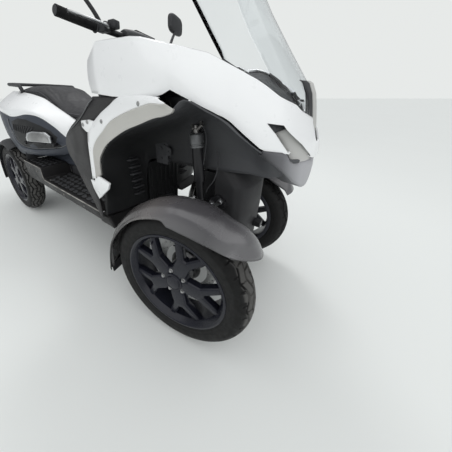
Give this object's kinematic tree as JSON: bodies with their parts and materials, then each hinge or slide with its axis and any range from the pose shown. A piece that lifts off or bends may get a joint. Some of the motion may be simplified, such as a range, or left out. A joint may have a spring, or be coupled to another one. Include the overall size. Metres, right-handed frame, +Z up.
{
  "type": "tilting four-wheeled scooter",
  "caption": "Road scooter with paired steered front wheels and paired rear wheels under a step-through body with a windscreen, a lifting seat and folding footrests.",
  "frame": {"origin": "on the floor, at the middle of the length and of the width", "axes": "+X forward, +Y to the rider's left, +Z up"},
  "size_m": [2.197, 0.7904, 1.3379],
  "materials": {
    "tyre": "matt black rubber",
    "cast_wheel": "satin black",
    "brake_steel": "brushed",
    "black_steel": "satin black",
    "engine_alloy": "cast grey",
    "exhaust_steel": "satin",
    "white_paint": "gloss white",
    "grey_plastic": "satin grey",
    "dark_plastic": "matt dark grey",
    "black_plastic": "matt black",
    "blue_grey_plastic": "satin blue-grey",
    "clear_lens": "clear",
    "red_lens": "gloss red",
    "screen": "clear with a slight tint",
    "seat_cover": "grained black",
    "satin_alloy": "satin"
  },
  "bodies": {
    "chassis": {"frame": "black_steel", "engine": "engine_alloy", "front_arms": "black_steel", "tilt_cylinders": "black_steel", "rear_arms": "black_steel", "rear_shocks": "black_steel", "rear_mudguards": "black_plastic", "muffler": "exhaust_steel", "headlamps": "clear_lens", "nose_fairing": "white_paint", "chin": "grey_plastic", "front_shield": "black_plastic", "wheel_well_liner": "black_plastic", "arch_trims": "white_paint", "leg_shield": "dark_plastic", "windscreen": "screen", "floorboards": "dark_plastic", "side_panels": "white_paint", "lower_side_panels": "blue_grey_plastic", "storage_tub": "black_plastic", "tail_fairing": "dark_plastic", "tail_lamp": "red_lens", "grab_rail": "satin_alloy", "plate_holder": "black_plastic", "footrest_brackets": "satin_alloy", "body_brackets": "black_steel", "seat_front_cover": "dark_plastic"},
    "seat": {"seat_base": "black_plastic", "seat_cushion": "seat_cover"},
    "glovebox": {"glovebox_lid": "dark_plastic"},
    "footrest_left": {"footrest_left": "satin_alloy"},
    "footrest_right": {"footrest_right": "satin_alloy"},
    "steering": {"handlebar": "black_steel", "mirrors": "black_plastic"},
    "tie_rod": {"tie_rod": "satin_alloy"},
    "knuckle_left": {"front_left_knuckle": "black_steel", "front_left_fender": "grey_plastic"},
    "knuckle_right": {"front_right_knuckle": "black_steel", "front_right_fender": "grey_plastic"},
    "wheel_front_left": {"front_left_tyre": "tyre", "front_left_rim": "cast_wheel", "front_left_disc": "brake_steel"},
    "wheel_front_right": {"front_right_tyre": "tyre", "front_right_rim": "cast_wheel", "front_right_disc": "brake_steel"},
    "wheel_rear_left": {"rear_left_tyre": "tyre", "rear_left_rim": "cast_wheel"},
    "wheel_rear_right": {"rear_right_tyre": "tyre", "rear_right_rim": "cast_wheel"}
  },
  "joints": [
    {"name": "steering_turn", "type": "hinge", "parent": "chassis", "child": "steering", "pos_m": [0.598, 0, 0.616], "axis": [-0.4226, 0, 0.9063], "range_deg": [-37.8, 22.2]},
    {"name": "knuckle_left_turn", "type": "hinge", "parent": "chassis", "child": "knuckle_left", "pos_m": [0.78, 0.19, 0.266], "axis": [0, 0, 1], "range_deg": [-37.8, 22.2]},
    {"name": "wheel_front_left_spin", "type": "hinge", "parent": "knuckle_left", "child": "wheel_front_left", "pos_m": [0.76846, 0.27421, 0.266], "axis": [-0.1357, 0.9907, 0], "continuous": true},
    {"name": "wheel_rear_left_spin", "type": "hinge", "parent": "chassis", "child": "wheel_rear_left", "pos_m": [-0.79, 0.275, 0.266], "axis": [0, 1, 0], "continuous": true},
    {"name": "footrest_left_fold", "type": "hinge", "parent": "chassis", "child": "footrest_left", "pos_m": [-0.24, 0.276, 0.604], "axis": [-0.9421, 0.3354, 0], "range_deg": [0, 85]},
    {"name": "knuckle_right_turn", "type": "hinge", "parent": "chassis", "child": "knuckle_right", "pos_m": [0.78, -0.19, 0.266], "axis": [0, 0, 1], "range_deg": [-37.8, 22.2]},
    {"name": "wheel_front_right_spin", "type": "hinge", "parent": "knuckle_right", "child": "wheel_front_right", "pos_m": [0.79154, -0.27421, 0.266], "axis": [-0.1357, 0.9907, 0], "continuous": true},
    {"name": "wheel_rear_right_spin", "type": "hinge", "parent": "chassis", "child": "wheel_rear_right", "pos_m": [-0.79, -0.275, 0.266], "axis": [0, 1, 0], "continuous": true},
    {"name": "footrest_right_fold", "type": "hinge", "parent": "chassis", "child": "footrest_right", "pos_m": [-0.24, -0.276, 0.604], "axis": [0.9421, 0.3354, 0], "range_deg": [0, 85]},
    {"name": "tie_rod_slide", "type": "slide", "parent": "chassis", "child": "tie_rod", "axis": [0, 1, 0], "range_m": [-0.0285, 0.0485]},
    {"name": "seat_lift", "type": "hinge", "parent": "chassis", "child": "seat", "pos_m": [0.072, 0, 0.712], "axis": [0, 1, 0], "range_deg": [0, 70]},
    {"name": "glovebox_open", "type": "hinge", "parent": "chassis", "child": "glovebox", "pos_m": [0.386, 0.14, 0.878], "axis": [0, -1, 0], "range_deg": [0, 80]}
  ],
  "couplings": [
    {"joint": "knuckle_left_turn", "follows": "steering_turn", "ratio": 1},
    {"joint": "knuckle_right_turn", "follows": "steering_turn", "ratio": 1},
    {"joint": "tie_rod_slide", "follows": "steering_turn", "m_per_rad": -0.072}
  ]
}
